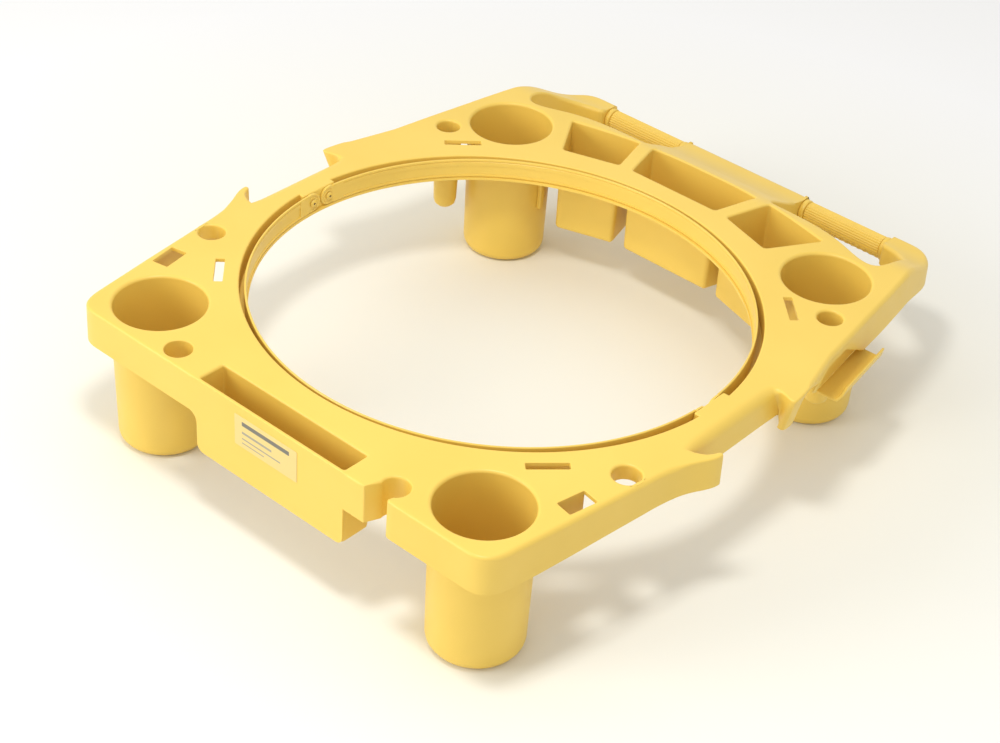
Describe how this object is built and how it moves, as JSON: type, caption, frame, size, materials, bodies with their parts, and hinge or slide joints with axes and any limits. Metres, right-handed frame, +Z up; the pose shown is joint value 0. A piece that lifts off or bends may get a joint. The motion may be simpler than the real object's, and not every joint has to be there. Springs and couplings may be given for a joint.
{
  "type": "rim tool caddy",
  "caption": "Moulded plastic tool caddy that drops over the rim of a round waste container, with cup legs, tray, bins, handle and hinged bag rings.",
  "frame": {"origin": "on the floor, under the middle of the whole caddy", "axes": "+Z up, +Y towards the rear handle, +X towards the side with the hook"},
  "size_m": [0.686, 0.8125, 0.1715],
  "materials": {
    "body_plastic": "satin moulded yellow plastic",
    "ring_plastic": "smooth satin yellow plastic",
    "rivet_plastic": "smooth yellow plastic with a dark centre",
    "sticker": "satin printed sticker with plain bars"
  },
  "bodies": {
    "root": {"bin_left": "body_plastic", "bin_middle": "body_plastic", "bin_right": "body_plastic", "collar_inner_left": "body_plastic", "collar_inner_right": "body_plastic", "collar_outer_left": "body_plastic", "collar_outer_right": "body_plastic", "cup_front_left": "body_plastic", "cup_front_right": "body_plastic", "cup_rear_left": "body_plastic", "cup_rear_right": "body_plastic", "cup_rib_left": "body_plastic", "cup_rib_right": "body_plastic", "deck_front_left": "body_plastic", "deck_front_middle": "body_plastic", "deck_front_right": "body_plastic", "deck_rear_left": "body_plastic", "deck_rear_middle": "body_plastic", "deck_rear_right": "body_plastic", "deck_side_left": "body_plastic", "deck_side_right": "body_plastic", "front_tray": "body_plastic", "grip_left": "body_plastic", "grip_right": "body_plastic", "handle_block_back": "body_plastic", "hinge_block_left": "body_plastic", "hinge_block_right": "body_plastic", "opening_wall_front": "body_plastic", "opening_wall_left": "body_plastic", "opening_wall_rear": "body_plastic", "opening_wall_right": "body_plastic", "rivet_left_front": "rivet_plastic", "rivet_left_rear": "rivet_plastic", "rivet_right_front": "rivet_plastic", "rivet_right_rear": "rivet_plastic", "side_hook": "body_plastic", "skirt_front_left": "body_plastic", "skirt_front_right": "body_plastic", "skirt_rear_left": "body_plastic", "skirt_rear_right": "body_plastic", "skirt_side_left": "body_plastic", "skirt_side_right": "body_plastic", "skirt_tray_end": "body_plastic", "socket_front_left": "body_plastic", "socket_keyhole": "body_plastic", "socket_side_left": "body_plastic", "socket_side_right": "body_plastic", "tool_tube_left": "body_plastic", "tool_tube_right": "body_plastic", "tray_label": "sticker", "window_flap_left": "body_plastic", "window_flap_right": "body_plastic"},
    "front_ring": {"bag_ring_front": "ring_plastic"},
    "rear_ring": {"bag_ring_rear": "ring_plastic"}
  },
  "joints": [
    {"name": "front_ring_hinge", "type": "hinge", "parent": "root", "child": "front_ring", "pos_m": [0, -0.073, 0.159], "axis": [-1, 0, 0], "range_deg": [0, 90]},
    {"name": "rear_ring_hinge", "type": "hinge", "parent": "root", "child": "rear_ring", "pos_m": [0, -0.048, 0.159], "axis": [1, 0, 0], "range_deg": [0, 90]}
  ]
}
